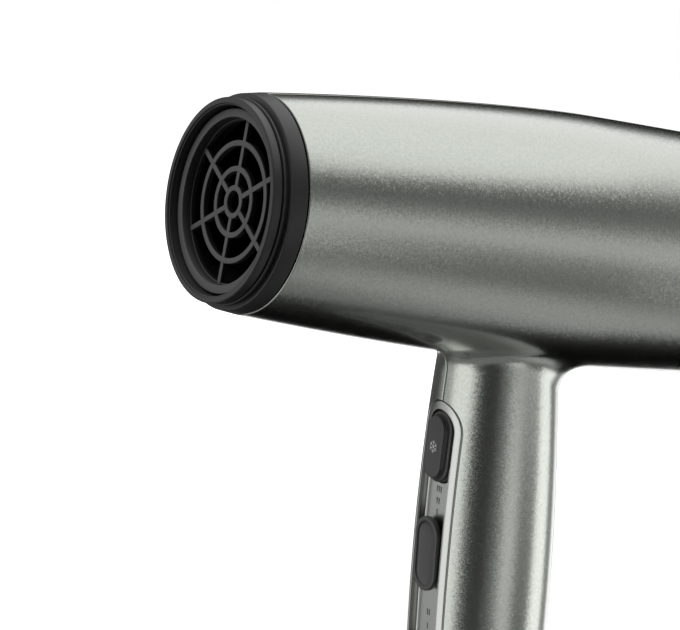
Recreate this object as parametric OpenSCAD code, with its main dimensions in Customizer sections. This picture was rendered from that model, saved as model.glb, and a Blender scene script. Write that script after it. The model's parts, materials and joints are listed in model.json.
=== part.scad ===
// Full-size hand-held hair dryer: a tapered barrel with an air outlet at the front, an air intake at
// the rear and a leaning handle with its controls on the front.
// The barrel runs along X, outlet at x = 0 facing -X. +Z is up and Y = 0 is the seam of the housing.

/* [Barrel] */
// Radius of the outlet lip, where a nozzle clips on
lip_r = 30; // [29.5:0.1:30.5]
// Largest radius of the barrel
barrel_r = 40.1; // [40:0.1:42]
// Radius of the barrel where it meets the outlet band
nose_r = 32.5; // [32.4:0.1:33]
// Where the barrel is widest, from the outlet
belly_x = 126; // [120:1:130]
// Where the housing ends and the intake cover begins
shell_rear = 185; // [184:1:187]
// Rear end of the intake cover
cover_rear = 206; // [204:1:210]
// Thickness of the housing wall
wall = 2.2; // [2:0.1:2.4]

/* [Handle] */
// Lean of the handle away from straight down, to the rear
lean = 8.5; // [7:0.5:10]
// Where the handle's axis crosses the barrel's axis
handle_x = 106.3; // [104:0.1:108]
// Largest radius of the grip
grip_r = 22.65; // [22.3:0.05:23]
// How much slimmer the grip is just below the barrel
grip_top_drop = 2.7; // [2:0.1:3]
// How much slimmer the grip is at its end
grip_end_drop = 1.65; // [1:0.05:2.2]
// Distance down the handle to its widest place
grip_belly = 118; // [110:1:124]
// Length of the housing down the handle, from the barrel's axis
handle_len = 174; // [172:1:180]

/* [Controls] */
// Width of the control panel
panel_w = 19; // [18.6:0.1:19.4]
// Width of the trough in the panel
trough_w = 13.6; // [13.4:0.1:14]
// Length of a slider's cap
slider_l = 24.4; // [23:0.1:25]
// Width of a slider's cap
slider_w = 12.2; // [11.8:0.1:12.4]
// Travel of the heat slider between its three settings
heat_travel = 7.8; // [7:0.1:8]
// Travel of the speed slider between off, low and high
speed_travel = 9; // [8:0.1:9.5]
// Travel of the cool-shot button
cool_travel = 1.6; // [1.2:0.1:1.8]

/* [Blower] */
// Radius of the fan over its blades
fan_r = 34; // [33:0.1:34.1]
// Number of fan blades
fan_blades = 9; // [7:1:11]
// Number of straightening vanes behind the fan
duct_vanes = 7; // [5:1:9]
// Radius of the motor's can
motor_r = 14; // [13.5:0.1:14.2]
// Radius of the motor's shaft
shaft_r = 1.5; // [1.4:0.1:1.6]

/* [Hidden] */
$fn = 64;

paint = [0.52, 0.54, 0.51];
black = [0.2, 0.2, 0.2];
dark_grey = [0.28, 0.28, 0.28];
light_grey = [0.68, 0.69, 0.67];
mica = [0.78, 0.72, 0.6];
steel = [0.7, 0.7, 0.72];
copper = [0.72, 0.45, 0.28];
board_green = [0.12, 0.35, 0.2];

shell_front = 10.4;
band_rear = 10;
lip_nose = -0.3;
gap = 0.3;
fit_gap = 0.03;

// Radius of the barrel's outside: it swells from the nose to the belly, then tapers a little.
front_drop = barrel_r - nose_r;
tail_drop = 1;
tail_len = shell_rear - belly_x;
function barrel_at(x) = x < belly_x
    ? barrel_r - front_drop * pow((belly_x - x) / (belly_x - band_rear), 1.6)
    : barrel_r - tail_drop * pow((x - belly_x) / tail_len, 1.3);

// Radius of the grip's outside at a distance s down the handle: two parabolas that meet at the belly.
grip_neck = 50;
function grip_at(s) = s < grip_belly
    ? grip_r - grip_top_drop * pow((grip_belly - s) / (grip_belly - grip_neck), 2)
    : grip_r - grip_end_drop * pow((s - grip_belly) / (handle_len - grip_belly), 2);

// Corner points of a bar with round ends, along x.
function stadium(l, w, n = 16) = concat(
    [for (i = [0:n]) [l / 2 - w / 2, 0] + w / 2 * [sin(180 * i / n), cos(180 * i / n)]],
    [for (i = [0:n]) [w / 2 - l / 2, 0] - w / 2 * [sin(180 * i / n), cos(180 * i / n)]]);

// The barrel's axis as the axis of turning.
module along_barrel(x = 0) translate([x, 0, 0]) rotate([0, 90, 0]) children();

// The handle's own frame: its axis is Z, with distance s down the handle at z = -s.
module on_handle() translate([handle_x, 0, 0]) rotate([0, -lean, 0]) children();

// A place on the handle's front: z points out of the front, x points up the handle.
module on_front(s) on_handle() translate([0, 0, -s]) rotate([0, -90, 0]) children();

// A flat outline in the handle's own x and z, given its thickness across.
module across_handle(w) on_handle() rotate([90, 0, 0]) linear_extrude(w, center = true) children();

module turned(points) rotate_extrude() polygon(points);

// A plain ring on the barrel's axis, from x0 to x1.
module barrel_ring(x0, x1, r_in, r_out) along_barrel(x0) difference() {
    cylinder(h = x1 - x0, r = r_out);
    translate([0, 0, -1]) cylinder(h = x1 - x0 + 2, r = r_in);
}

// ---- Housing ----

barrel_steps = 22;
module barrel_body(inset, x0, x1) along_barrel() turned(concat([[0, x0]],
    [for (i = [0:barrel_steps]) let (x = x0 + (x1 - x0) * i / barrel_steps)
        [barrel_at(x) - inset, x]],
    [[0, x1]]));

grip_steps = 18;
module grip_body(inset, s0, s1) on_handle() turned(concat([[0, -s0]],
    [for (i = [0:grip_steps]) let (s = s0 + (s1 - s0) * i / grip_steps)
        [grip_at(s) - inset, -s]],
    [[0, -s1]]));

panel_top = 52.6;
panel_bottom = 161.6;
panel_mid = (panel_top + panel_bottom) / 2;
panel_l = panel_bottom - panel_top;

module panel_column(grow, x0, x1) on_front(panel_mid)
    translate([0, 0, x0]) linear_extrude(x1 - x0) polygon(stadium(panel_l + 2 * grow, panel_w + 2 * grow));

screw_s = [47, 167];
screw_back = [9, 13];
boss_r = 3.6;
screw_r = 1.45;
plug_r = 3.3;
head_depth = 9;
module at_screws() for (i = [0, 1]) on_handle()
    translate([screw_back[i], 0, -screw_s[i]]) rotate([-90, 0, 0]) children();

module housing_shell() difference() {
    union() {
        difference() {
            union() {
                barrel_body(0, shell_front, shell_rear);
                grip_body(0, 20, handle_len);
            }
            barrel_body(wall, shell_front - 1, shell_rear + 1);
            grip_body(wall, 15, handle_len + 1);
        }
        intersection() {
            at_screws() translate([0, 0, -grip_r]) cylinder(h = 2 * grip_r, r = boss_r);
            grip_body(wall / 2, 39, handle_len);
        }
    }
    panel_column(gap / 2, 6, 30);
    at_screws() translate([0, 0, -8]) cylinder(h = 40, r = screw_r + 0.05);
    at_screws() translate([0, 0, head_depth]) cylinder(h = 20, r = plug_r + 0.05);
}

seam_gap = 0.02;
module housing_left() color(paint) intersection() {
    housing_shell();
    translate([0, -60 - seam_gap, -60]) cube([500, 120, 400], center = true);
}

module housing_right() color(paint) intersection() {
    housing_shell();
    translate([0, 60 + seam_gap, -60]) cube([500, 120, 400], center = true);
}

// ---- Outlet ----

guide_r = 24.4;
guide_out = 27;
lip_in = 27.8;
guide_end = 33;
module outlet_ring() color(black) along_barrel() turned([
    [lip_in, lip_nose + 0.4], [lip_in + 0.4, lip_nose], [lip_r - 0.5, lip_nose],
    [lip_r - 0.15, lip_nose + 0.1], [lip_r, 0],
    [lip_r, 2.7], [lip_r - 0.8, 2.8], [lip_r - 0.8, 3.2], [lip_r + 0.3, 3.3],
    [lip_r + 0.4, 3.9], [lip_r - 0.4, 4.1], [lip_r - 0.4, 5], [lip_r + 1.3, 5],
    [lip_r + 1.7, 5.4], [nose_r - 0.1, band_rear], [nose_r - wall - 0.05, band_rear],
    [nose_r - wall - 0.1, 20], [28, 20], [28, 7.5], [lip_in, 7.5]]);

module air_guide() color(black) along_barrel() turned([
    [guide_r, 2.6], [guide_out, 2.6], [guide_out, 7.6], [27.96, 7.6], [27.96, 9.6],
    [guide_out, 9.6], [guide_out, guide_end], [guide_r + 0.6, guide_end],
    [guide_r + 0.6, 7.2], [guide_r, 7.2]]);

grille_x = 5.1;
ring_r = [4.1, 9.7, 17.2];
spoke_w = 1.5;
grille_depth = 1.9;
module outlet_grille() color(dark_grey) {
    for (r = ring_r) barrel_ring(grille_x, grille_x + grille_depth, r - 0.8, r + 0.8);
    for (a = [0:60:300]) rotate([a, 0, 0])
        translate([grille_x + 0.2, -spoke_w / 2, 4]) cube([grille_depth - 0.4, spoke_w, guide_r - 4.3]);
    barrel_ring(grille_x + 0.3, grille_x + grille_depth, guide_r - 0.6, guide_r - 0.02);
}

// ---- Heater ----

tube_r = 27.8;
tube_x0 = 22;
tube_x1 = 112;
board_x0 = 37;
board_x1 = 109;
board_t = 0.8;
board_foot = 5;
board_half = (board_x0 + board_x1) / 2;
board_end = 26.9;
board_mid = 23.6;
coil_r = 21;
coil_wire = 1.1;
coil_pitch = 6;
coil_front_x = [for (i = [0:4]) 47 + i * coil_pitch];
coil_rear_x = [for (i = [0:4]) 77 + i * coil_pitch];

module heater_tube() color(mica) barrel_ring(tube_x0, tube_x1, tube_r - 0.6, tube_r);

module mica_board(slot_x0, slot_x1) difference() {
    translate([board_x0, -board_t / 2, -board_end])
        cube([board_x1 - board_x0, board_t, 2 * board_end]);
    for (side = [-1, 1]) {
        translate([board_x0 + board_foot, -1, side > 0 ? board_mid : -board_end - 1])
            cube([board_x1 - board_x0 - 2 * board_foot, 2, board_end - board_mid + 1]);
        for (x = concat(coil_front_x, coil_rear_x))
            translate([x, 0, side * (coil_r + 3)]) cube([3, 2, 8.4], center = true);
    }
    translate([slot_x0, -1, -board_t / 2 - 0.05]) cube([slot_x1 - slot_x0, 2, board_t + 0.1]);
}

module mica_board_upright() color(mica) mica_board(board_x0 - 1, board_half + 0.05);

module mica_board_level() color(mica) rotate([90, 0, 0]) mica_board(board_half - 0.05, board_x1 + 1);

module coil_turns(places) for (x = places) along_barrel(x)
    rotate_extrude() translate([coil_r, 0]) circle(r = coil_wire, $fn = 24);

module heater_coil_front() color(steel) coil_turns(coil_front_x);

module heater_coil_rear() color(steel) coil_turns(coil_rear_x);

module heater_terminals() color(steel) for (y = [-14, -7, 7, 14])
    translate([106, y, board_t / 2]) cylinder(h = 3, r = 1.6);

module thermostat() color(steel) translate([94, board_t / 2, 11]) rotate([-90, 0, 0]) union() {
    cylinder(h = 2.4, r = 5.5);
    translate([0, 0, 2]) cylinder(h = 2, r = 3.4);
}

module thermal_fuse() color([0.85, 0.83, 0.78]) translate([66, board_t / 2 + 1.8, 11])
    rotate([0, 90, 0]) union() {
        cylinder(h = 11, r = 1.8);
        translate([0, 0, -5]) cylinder(h = 21, r = 0.5);
    }

// ---- Blower ----

duct_r = 35.9;
duct_in = 34.7;
duct_x0 = 122;
duct_x1 = 183;
hub_r = 16;
hub_x0 = 123;
hub_x1 = 158;
can_x0 = 127;
can_x1 = 156;
can_wall = 1;
bore_r = 3.5;

module fan_duct() color(dark_grey) {
    barrel_ring(duct_x0, duct_x1, duct_in, duct_r);
    difference() {
        barrel_ring(hub_x0, hub_x1, motor_r + 0.02, hub_r);
        for (a = [0:60:300]) rotate([a + 30, 0, 0])
            translate([hub_x0 + 8, -2, motor_r - 1]) cube([12, 4, 4]);
    }
    for (i = [0:duct_vanes - 1]) rotate([360 * i / duct_vanes, 0, 0])
        translate([132, -0.7, hub_r - 0.2]) cube([24, 1.4, duct_in - hub_r + 0.5]);
    difference() {
        barrel_ring(hub_x0, hub_x0 + 1.6, 6, hub_r);
        for (side = [-1, 1]) along_barrel(hub_x0 - 1)
            translate([0, side * 9.5, 0]) cylinder(h = 4, r = 1.3);
    }
}

module motor_can() color(steel) along_barrel() difference() {
    turned([[bore_r, can_x0], [motor_r, can_x0], [motor_r, can_x1], [motor_r - can_wall, can_x1],
        [motor_r - can_wall, can_x0 + can_wall], [bore_r, can_x0 + can_wall]]);
    for (side = [-1, 1]) translate([0, side * 9.5, can_x0 - 1]) cylinder(h = 3, r = 1.15);
}

module motor_end_cap() color(black) difference() {
    barrel_ring(can_x1 - 2, can_x1, bore_r, motor_r - can_wall - 0.02);
    for (side = [-1, 1]) translate([can_x1 - 1, 0, side * 8]) cube([3, 4, 3.4], center = true);
}

module motor_magnets() color([0.25, 0.25, 0.27]) difference() {
    barrel_ring(132, 150, 10.6, motor_r - can_wall - 0.02);
    for (side = [-1, 1]) translate([141, side * 14, 0]) cube([30, 12, 40], center = true);
}

module bearing(x0, x1) color([0.7, 0.55, 0.3]) barrel_ring(x0, x1, shaft_r + fit_gap, bore_r);

module front_bearing() bearing(can_x0 - 2, can_x0 + 2);

module rear_bearing() bearing(can_x1 - 2, can_x1 + 2);

module motor_brushes() color([0.2, 0.2, 0.2]) for (side = [-1, 1])
    translate([152, -1.5, side > 0 ? 4 : -9]) cube([1.9, 3, 5]);

module motor_screws() color(steel) for (side = [-1, 1]) along_barrel()
    translate([0, side * 9.5, 0]) {
        translate([0, 0, hub_x0 - 1.6]) cylinder(h = 1.6, r = 2.2);
        translate([0, 0, hub_x0 - 0.5]) cylinder(h = 6, r = 1.1);
    }

module rectifier_board() color(board_green) union() {
    difference() {
        translate([115, -12, -13]) cube([1.4, 24, 26]);
        along_barrel(114) cylinder(h = 4, r = 5);
    }
    for (y = [-8, 4], z = [-9, 5]) translate([116.3, y, z]) cube([2.4, 4, 5]);
}

module suppressor_capacitor() color([0.75, 0.6, 0.15])
    translate([116.42, -2.5, -12]) cube([4, 5, 6]);

module motor_shaft() color(steel) along_barrel(122) cylinder(h = 58, r = shaft_r);

module rotor_core() color(steel) difference() {
    barrel_ring(133, 148, shaft_r, 9.8);
    for (a = [0:60:300]) rotate([a, 0, 0]) translate([132, -0.6, 8]) cube([17, 1.2, 4]);
    for (a = [0:60:300]) rotate([a, 0, 0]) along_barrel(132)
        translate([-7, 0, 0]) cylinder(h = 17, r = 1.5, $fn = 24);
}

module rotor_windings() color(copper) for (x = [130, 148]) barrel_ring(x, x + 3, 4.2, 8.6);

module commutator() color(copper) barrel_ring(151.2, 153.9, shaft_r, 3.6);

fan_x = 170;
fan_hub_r = 15.4;
module fan_impeller() color(dark_grey) {
    along_barrel() turned([[shaft_r, 161], [6, 161], [6, 175], [fan_hub_r - 1.6, 175],
        [fan_hub_r - 1.6, 162], [fan_hub_r, 162], [fan_hub_r, 175.5], [12, 178.5],
        [6, 180], [shaft_r, 180]]);
    intersection() {
        for (i = [0:fan_blades - 1]) rotate([360 * i / fan_blades, 0, 0])
            translate([fan_x, 0, fan_hub_r - 0.5]) rotate([0, 0, 40])
                translate([-9, -0.7, 0]) cube([18, 1.4, 25]);
        barrel_ring(162.5, 178, fan_hub_r - 0.8, fan_r);
    }
}

// ---- Air intake ----

cover_r = barrel_at(shell_rear) - 0.1;
cover_wall = 2;
cover_hub = 9;
spigot_r = barrel_at(shell_rear) - wall - 0.35;
module rear_cover() color(black) along_barrel() turned([
        [spigot_r - 1.5, 183.6], [spigot_r, 183.6], [spigot_r, shell_rear + gap],
        [cover_r, shell_rear + gap], [cover_r - 0.2, cover_rear - 12], [cover_r - 1.2, cover_rear - 7],
        [cover_r - 3.2, cover_rear - 3.2], [cover_r - 6, cover_rear - 1], [cover_r - 9, cover_rear],
        [cover_r - 9, cover_rear - cover_wall], [cover_r - 6.6, cover_rear - 3],
        [cover_r - 4.6, cover_rear - 4.6], [cover_r - 3, cover_rear - 8],
        [cover_r - 2.2, cover_rear - 12], [cover_r - 2.2, shell_rear + 3], [spigot_r - 1.5, shell_rear + 2]]);

// The slotted disc that sits in the rear cover's opening: five rings on twelve spokes.
disc_r = cover_r - 9.04;
module intake_grille() color(black) {
    for (r = [12.5, 16.5, 20.5, 24.5]) barrel_ring(cover_rear - cover_wall, cover_rear, r - 0.7, r + 0.7);
    barrel_ring(cover_rear - cover_wall, cover_rear, disc_r - 1.6, disc_r);
    along_barrel(cover_rear - cover_wall) cylinder(h = cover_wall, r = cover_hub);
    for (a = [0:30:330]) rotate([a, 0, 0])
        translate([cover_rear - cover_wall + 0.2, -0.7, cover_hub - 0.5])
            cube([cover_wall - 0.4, 1.4, disc_r - cover_hub - 0.3]);
}

mesh_x = cover_rear - 3.8;
module filter_mesh() color(steel) along_barrel(mesh_x) cylinder(h = 0.6, r = cover_r - 6.8);

// ---- Controls ----

trough_depth = 3;
panel_floor = 1.5;
trough_in = (panel_w - trough_w) / 2;
cool_s = 67.4;
cool_l = 23;
cool_w = 12.2;
cool_tilt = 3.5;
cool_pivot = 20;
cool_front = 19.2;
heat_s = 102.6;
speed_s = 145.3;
slider_top = 22.9;
slider_h = 1.7;
slot_w = 5;
stem_w = 4.2;
stem_l = 6.4;
slot_l_extra = 0.8;

// Everything outside a surface that follows the grip's front at a depth below it.
slab_steps = 12;
module outside_front(depth, w, s0, s1) across_handle(w) polygon(concat(
    [[-40, -s0]],
    [for (i = [0:slab_steps]) let (s = s0 + (s1 - s0) * i / slab_steps)
        [depth - grip_at(s), -s]],
    [[-40, -s1]]));

// The cool-shot button's own frame: z points out of its face, which leans with the panel's surface.
module at_cool_button() on_front(cool_s) translate([0, 0, cool_pivot]) rotate([0, cool_tilt, 0])
    translate([0, 0, -cool_pivot]) children();

module bar(l, w, z0, z1) translate([0, 0, z0]) linear_extrude(z1 - z0) polygon(stadium(l, w));

module slider_slot(s, travel) on_front(s) translate([travel / 2, 0, 0])
    bar(stem_l + travel + 2 * slot_l_extra, slot_w, 5, 30);

module switch_panel() color(light_grey) difference() {
    intersection() {
        grip_body(0.02, 40, handle_len);
        panel_column(0, 12, 30);
        outside_front(trough_depth + panel_floor, 40, 40, 170);
    }
    intersection() {
        outside_front(trough_depth, trough_w, 40, 170);
        on_front(panel_mid) bar(panel_l - 2 * trough_in, trough_w, 10, 30);
    }
    at_cool_button() bar(cool_l + 1, cool_w + 1, 5, 30);
    slider_slot(heat_s, heat_travel);
    slider_slot(speed_s, speed_travel);
}

mark_h = 0.1;
mark_pitch = 1.05;
mark_l = 2;
mark_t = 0.36;
// A row of upright strokes, printed on the trough floor.
module strokes(s, count) for (i = [0:count - 1])
    on_front(s) translate([-mark_l / 2, (i - (count - 1) / 2) * mark_pitch - mark_t / 2,
        grip_at(s) - trough_depth - 0.12]) cube([mark_l, mark_t, mark_h + 0.12]);

module panel_marks() color(dark_grey) {
    strokes(81.6, 3);
    strokes(85.4, 2);
    strokes(89.2, 1);
    strokes(122.6, 2);
    strokes(127.3, 1);
    on_front(131.3) translate([0, 0, grip_at(131.3) - trough_depth - 0.12]) difference() {
        cylinder(h = mark_h + 0.12, r = 0.9);
        translate([0, 0, -1]) cylinder(h = 3, r = 0.56);
    }
}

// A raised cap with a dished face, and a stem that reaches its switch.
module slider_cap() color(black) difference() {
    union() {
        bar(slider_l, slider_w, slider_top - slider_h, slider_top - 0.5);
        bar(slider_l - 0.8, slider_w - 0.8, slider_top - slider_h, slider_top);
        bar(stem_l, stem_w, switch_top - 1.2, slider_top - 0.6);
    }
    bar(slider_l - 3.8, slider_w - 3.8, slider_top - 0.7, slider_top + 1);
}

module heat_slider() on_front(heat_s) slider_cap();

module speed_slider() on_front(speed_s) slider_cap();

board_x = 8.6;
pcb_t = 1.4;
switch_top = 15.2;
module switch_board() color(board_green) difference() {
    on_front(108) translate([-49, -10, board_x]) cube([98, 20, pcb_t]);
    at_board_screws() translate([0, 0, 1]) cylinder(h = 20, r = 1.05);
}

module at_board_screws() for (s = [84, 125]) on_front(s) children();

module board_screws() color(steel) at_board_screws() {
    translate([0, 0, board_x + pcb_t]) cylinder(h = 1.3, r = 1.9);
    translate([0, 0, board_x - 3]) cylinder(h = 5, r = 1);
}

// A slide switch: a block with a channel in its top that the slider's stem runs in.
module slide_switch(s, travel) color(black) on_front(s) difference() {
    translate([travel / 2 - 11.5, -5, board_x + pcb_t]) cube([23, 10, switch_top - board_x - pcb_t]);
    translate([travel / 2, 0, 0]) bar(stem_l + travel + 2 * slot_l_extra, slot_w, switch_top - 2.6, 30);
}

module heat_switch() slide_switch(heat_s, heat_travel);

module speed_switch() slide_switch(speed_s, speed_travel);

// The sprung blade under a slider's stem that bridges the switch's contacts.
module contact_blade() color(copper) translate([-3, -1.5, switch_top - 2])
    cube([6, 3, 0.8]);

module heat_contact() on_front(heat_s) contact_blade();

module speed_contact() on_front(speed_s) contact_blade();

cool_rise = 2.6;
cool_base = cool_front - 3;
spring_r = 2.6;
spring_low = 12.6;
module cool_shot_button() color(black) at_cool_button() union() {
    bar(cool_l, cool_w, cool_base, cool_front + 1.2);
    bar(cool_l - 1.8, cool_w - 1.8, cool_base, cool_front + 1.9);
    bar(cool_l - 3.2, cool_w - 3.4, cool_base, cool_front + cool_rise + 0.3);
    bar(cool_l - 3.8, cool_w - 4, cool_base, cool_front + cool_rise + 0.6);
    bar(cool_l + 1.8, cool_w + 1.8, cool_base - 1.2, cool_base);
    translate([0, 0, spring_low + cool_travel + 0.9]) cylinder(h = 3, r = 1.4);
}

module cool_shot_spring() color(steel) at_cool_button() translate([0, 0, spring_low])
    difference() {
        cylinder(h = cool_base - 1.2 - spring_low, r = spring_r);
        translate([0, 0, -1]) cylinder(h = 10, r = spring_r - 0.7);
    }

module cool_shot_switch() color(black) at_cool_button() difference() {
    translate([-6, -4, board_x + pcb_t + 0.7]) cube([12, 8, spring_low - board_x - pcb_t - 0.7]);
    translate([0, 0, spring_low - 0.6]) cylinder(h = 3, r = 1.7);
}

// ---- Handle end ----

end_r = grip_at(handle_len);
loop_back = 13.4;
loop_r = 6.5;
loop_half = 5.4;
loop_w = 4;
loop_s = handle_len + 8.6;
module handle_end_cap() color(black) difference() {
    on_handle() turned([[7, -168], [end_r - wall - 0.1, -168], [end_r - wall - 0.1, -handle_len],
        [end_r - 0.1, -handle_len], [end_r - 0.3, -handle_len - 2], [end_r - 1.4, -handle_len - 3.6],
        [end_r - 3.4, -handle_len - 4.6], [7, -handle_len - 5], [7, -handle_len - 3],
        [end_r - 5, -handle_len - 2.6], [end_r - 4.6, -168 - 2], [7, -170]]);
    on_handle() translate([screw_back[1], 0, -screw_s[1]]) rotate([90, 0, 0])
        cylinder(h = 60, r = boss_r + 0.2, center = true);
    on_handle() translate([loop_back - loop_half - 0.05, -loop_w / 2 - 0.05, -loop_s + 2.5])
        cube([2 * loop_half + 0.1, loop_w + 0.1, 6]);
}

module hang_loop() color(black) on_handle()
    translate([loop_back, 0, -loop_s]) rotate([90, 0, 0]) difference() {
        union() {
            intersection() {
                cylinder(h = loop_w, r = loop_r, center = true);
                translate([-10, -14, -4]) cube([20, 18, 8]);
            }
            translate([-loop_half, 2, -loop_w / 2]) cube([2 * loop_half, 4, loop_w]);
        }
        cylinder(h = 6, r = 4, center = true);
    }

inlet_bore = 3.6;
module cable_inlet() color(black) on_handle() turned([
    [inlet_bore, -160], [8.4, -160], [8.4, -167.9], [6.9, -167.9], [6.9, -handle_len - 5],
    [6.5, -handle_len - 13], [6, -handle_len - 14], [inlet_bore, -handle_len - 14]]);

module cord_clamp() color(black) on_front(154) difference() {
    translate([-4, -9, -6]) cube([8, 18, 3]);
    translate([0, 0, -10]) rotate([0, 90, 0]) cylinder(h = 20, r = inlet_bore, center = true);
    for (side = [-1, 1]) translate([0, side * 6.6, -10]) cylinder(h = 12, r = 1.05);
}

module clamp_screws() color(steel) on_front(154) for (side = [-1, 1])
    translate([0, side * 6.6, 0]) {
        translate([0, 0, -3]) cylinder(h = 1.4, r = 1.9);
        translate([0, 0, -9]) cylinder(h = 7, r = 1);
    }

module handle_screws() color(steel) at_screws() {
    translate([0, 0, -7]) cylinder(h = 7 + head_depth, r = screw_r);
    translate([0, 0, head_depth]) cylinder(h = 2, r = 2.8);
}

module screw_plugs() color(paint) intersection() {
    at_screws() translate([0, 0, head_depth + 2.4]) cylinder(h = 20, r = plug_r);
    grip_body(0.05, 40, handle_len);
}

// Two insulated wires from the switch board up to the heater and the blower.
wire_r = 0.9;
wire_points = [[1, -58], [5, -44], [5, -12]];
module lead_wires() color([0.55, 0.1, 0.1]) for (side = [-1, 1]) on_handle()
    for (i = [0:len(wire_points) - 2]) {
        a = wire_points[i];
        b = wire_points[i + 1];
        run = norm(b - a);
        tilt = atan2(b[0] - a[0], b[1] - a[1]);
        translate([a[0], side * 4, a[1]]) rotate([0, tilt, 0]) cylinder(h = run, r = wire_r);
        translate([b[0], side * 4, b[1]]) sphere(r = 1.2 * wire_r);
    }

housing_left();
housing_right();
outlet_ring();
air_guide();
outlet_grille();
heater_tube();
mica_board_upright();
mica_board_level();
heater_coil_front();
heater_coil_rear();
heater_terminals();
thermostat();
thermal_fuse();
fan_duct();
motor_can();
motor_end_cap();
motor_magnets();
front_bearing();
rear_bearing();
motor_brushes();
motor_screws();
rectifier_board();
suppressor_capacitor();
motor_shaft();
rotor_core();
rotor_windings();
commutator();
fan_impeller();
rear_cover();
intake_grille();
filter_mesh();
switch_panel();
panel_marks();
switch_board();
board_screws();
heat_switch();
speed_switch();
cool_shot_switch();
heat_slider();
heat_contact();
speed_slider();
speed_contact();
cool_shot_button();
cool_shot_spring();
handle_end_cap();
hang_loop();
cable_inlet();
cord_clamp();
clamp_screws();
handle_screws();
screw_plugs();
lead_wires();
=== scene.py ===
import json
from math import cos, pi, radians, sin

import bmesh
import bpy
import numpy as np
from mathutils import Matrix, Vector


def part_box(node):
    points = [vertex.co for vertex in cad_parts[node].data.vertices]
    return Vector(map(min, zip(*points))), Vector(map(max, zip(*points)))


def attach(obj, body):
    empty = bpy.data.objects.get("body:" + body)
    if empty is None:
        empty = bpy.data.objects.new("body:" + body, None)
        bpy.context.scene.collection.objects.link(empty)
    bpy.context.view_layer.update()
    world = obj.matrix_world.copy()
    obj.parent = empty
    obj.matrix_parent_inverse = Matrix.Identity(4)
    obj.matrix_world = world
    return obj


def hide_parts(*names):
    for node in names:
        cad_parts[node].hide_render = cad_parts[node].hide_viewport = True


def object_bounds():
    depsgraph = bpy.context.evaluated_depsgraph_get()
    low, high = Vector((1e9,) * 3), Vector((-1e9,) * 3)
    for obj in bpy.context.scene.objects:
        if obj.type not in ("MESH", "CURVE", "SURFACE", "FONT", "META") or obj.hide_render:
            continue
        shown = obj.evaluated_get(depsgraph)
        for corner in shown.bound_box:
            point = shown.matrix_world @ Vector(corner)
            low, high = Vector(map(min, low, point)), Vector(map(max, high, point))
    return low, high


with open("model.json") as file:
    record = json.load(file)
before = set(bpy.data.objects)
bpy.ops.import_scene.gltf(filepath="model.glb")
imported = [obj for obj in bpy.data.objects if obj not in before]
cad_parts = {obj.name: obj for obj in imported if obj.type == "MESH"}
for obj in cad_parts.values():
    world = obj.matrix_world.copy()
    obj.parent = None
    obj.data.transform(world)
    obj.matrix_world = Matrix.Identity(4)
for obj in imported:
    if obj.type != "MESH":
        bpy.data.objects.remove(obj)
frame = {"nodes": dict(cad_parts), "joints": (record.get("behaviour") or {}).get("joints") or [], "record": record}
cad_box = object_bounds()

# Lengths are in millimetres until a mesh is made. The barrel runs along X, and the handle has its
# own frame: s is the distance down it from the barrel's axis, out is out of its front, y is across.
MM = 0.001
record = frame["record"]
joint = {j["name"]: j for j in frame["joints"]}
mount = {m["name"]: m for m in record["mounts"]}


def low(name):
    return np.array(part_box(name)[0]) / MM


def high(name):
    return np.array(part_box(name)[1]) / MM


UP = np.array(joint["heat_slide"]["axis"], float)
UP /= np.linalg.norm(UP)
FRONT = np.array([-UP[2], 0, UP[0]])
ACROSS = np.array([0.0, 1.0, 0.0])
# How far down the handle the mount named hand_grip is.
GRIP_S = 110.0
HANDLE_O = np.array(mount["hand_grip"]["pos_m"]) / MM + GRIP_S * UP

LIP_R = mount["nozzle_seat"]["dims"]["r_mm"]
SHELL_X0 = low("housing_left")[0]
SHELL_X1 = high("housing_left")[0]
BARREL_R = -low("housing_left")[1]
NOSE_R = high("outlet_ring")[1] + 0.1
BAND_X = 10.0
BELLY_X = 126.0
TAIL_DROP = 1.0
GRIP_R, GRIP_BELLY, GRIP_NECK = 22.65, 118.0, 50.0
GRIP_TOP_DROP, GRIP_END_DROP = 2.7, 1.65
HANDLE_LEN = 174.0
WALL = 2.2
PANEL_TOP, PANEL_BOTTOM, PANEL_HALF = 52.6, 161.6, 9.5
TROUGH_HALF, TROUGH_DEPTH, COVE_START = 6.8, 3.0, 5.7
# Half the line between the housing halves, and the space round an inset or joined piece.
SEAM = 0.12
GAP = 0.3


def barrel_at(x):
    """Radius of the barrel: it swells as a power of the distance to the belly, then tapers a little."""
    x = np.asarray(x, float)
    swell = np.clip(BELLY_X - x, 0, None) / (BELLY_X - BAND_X)
    tail = np.clip(x - BELLY_X, 0, None) / (SHELL_X1 - BELLY_X)
    return BARREL_R - (BARREL_R - NOSE_R) * swell**1.6 - TAIL_DROP * tail**1.3


def grip_at(s):
    """Radius of the grip: two parabolas down the handle that meet at its widest place."""
    s = np.asarray(s, float)
    above = GRIP_TOP_DROP * ((GRIP_BELLY - s) / (GRIP_BELLY - GRIP_NECK)) ** 2
    below = GRIP_END_DROP * ((s - GRIP_BELLY) / (HANDLE_LEN - GRIP_BELLY)) ** 2
    return GRIP_R - np.where(s < GRIP_BELLY, above, below)


def on_handle(s, out, y):
    """Points at a distance s down the handle, out of its front and y across."""
    s, out, y = np.broadcast_arrays(s, out, y)
    return HANDLE_O - s[..., None] * UP + out[..., None] * FRONT + y[..., None] * ACROSS


def on_barrel(x, up, y):
    """Points at x along the barrel, up and across."""
    x, up, y = np.broadcast_arrays(x, up, y)
    return np.stack([x, y, up], -1).astype(float)


# ---- Meshes ----


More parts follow.
